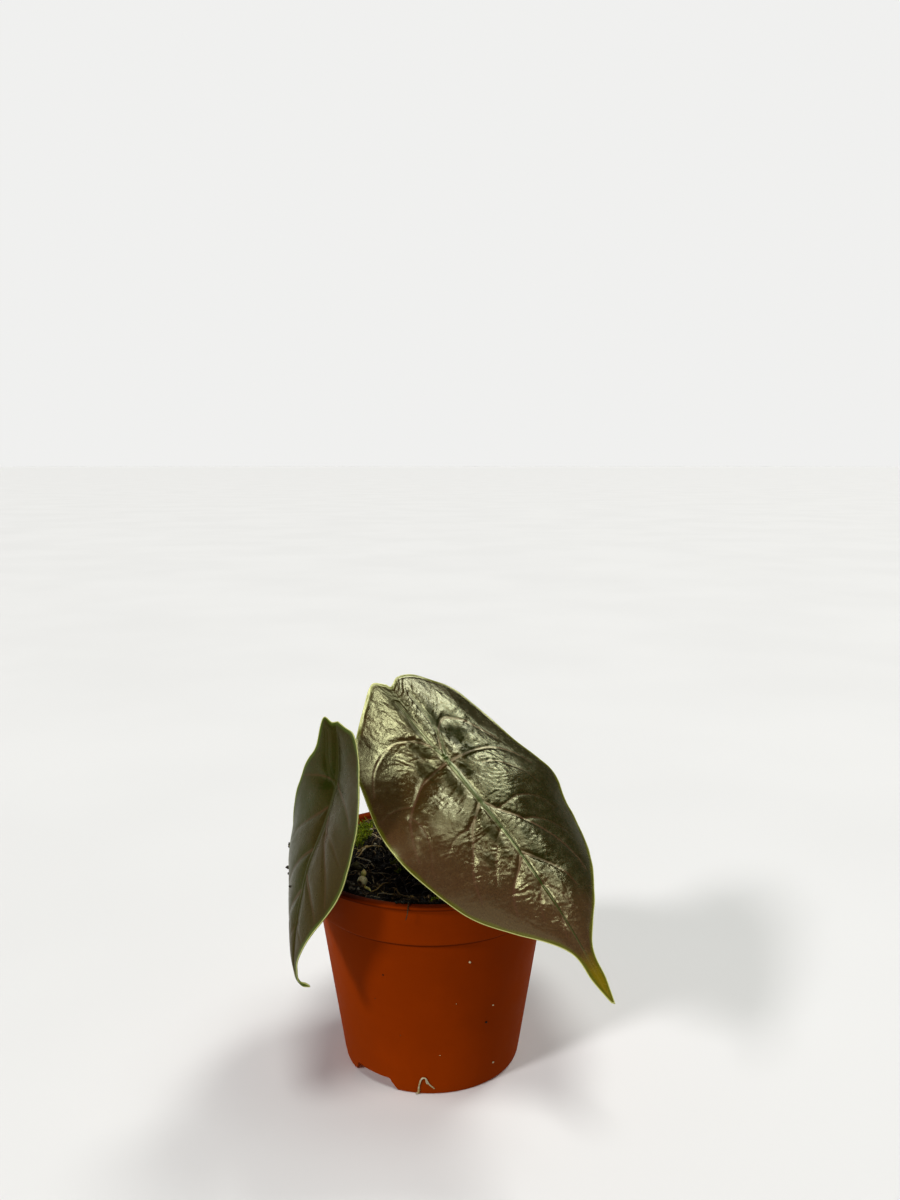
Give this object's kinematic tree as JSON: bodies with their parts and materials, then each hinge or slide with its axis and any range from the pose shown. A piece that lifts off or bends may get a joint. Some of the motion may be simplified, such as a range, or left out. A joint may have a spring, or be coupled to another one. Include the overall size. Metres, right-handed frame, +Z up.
{
  "type": "potted alocasia azlanii",
  "caption": "Small potted aroid with glossy dark shield-shaped leaves on short stalks, in a terracotta-coloured plastic nursery pot of peat.",
  "frame": {"origin": "centre of the plant and pot's footprint, at the foot of the pot", "axes": "+Z up along the pot's axis, -Y towards the viewer, +X towards the large leaf's tip"},
  "size_m": [0.0986, 0.1104, 0.129],
  "materials": {
    "pot_plastic": "matte terracotta-coloured moulded plastic",
    "peat": "damp fibrous peat",
    "crown_bark": "dry ringed stem",
    "granule": "dull cream",
    "stalk": "satin green stalk",
    "blade": "glossy dark bronze green leaf"
  },
  "bodies": {
    "root": {"pot": "pot_plastic", "soil": "peat", "crown": "crown_bark", "granule": "granule", "petiole_large": "stalk", "petiole_small": "stalk", "leaf_large": "blade", "leaf_small": "blade"}
  },
  "joints": []
}
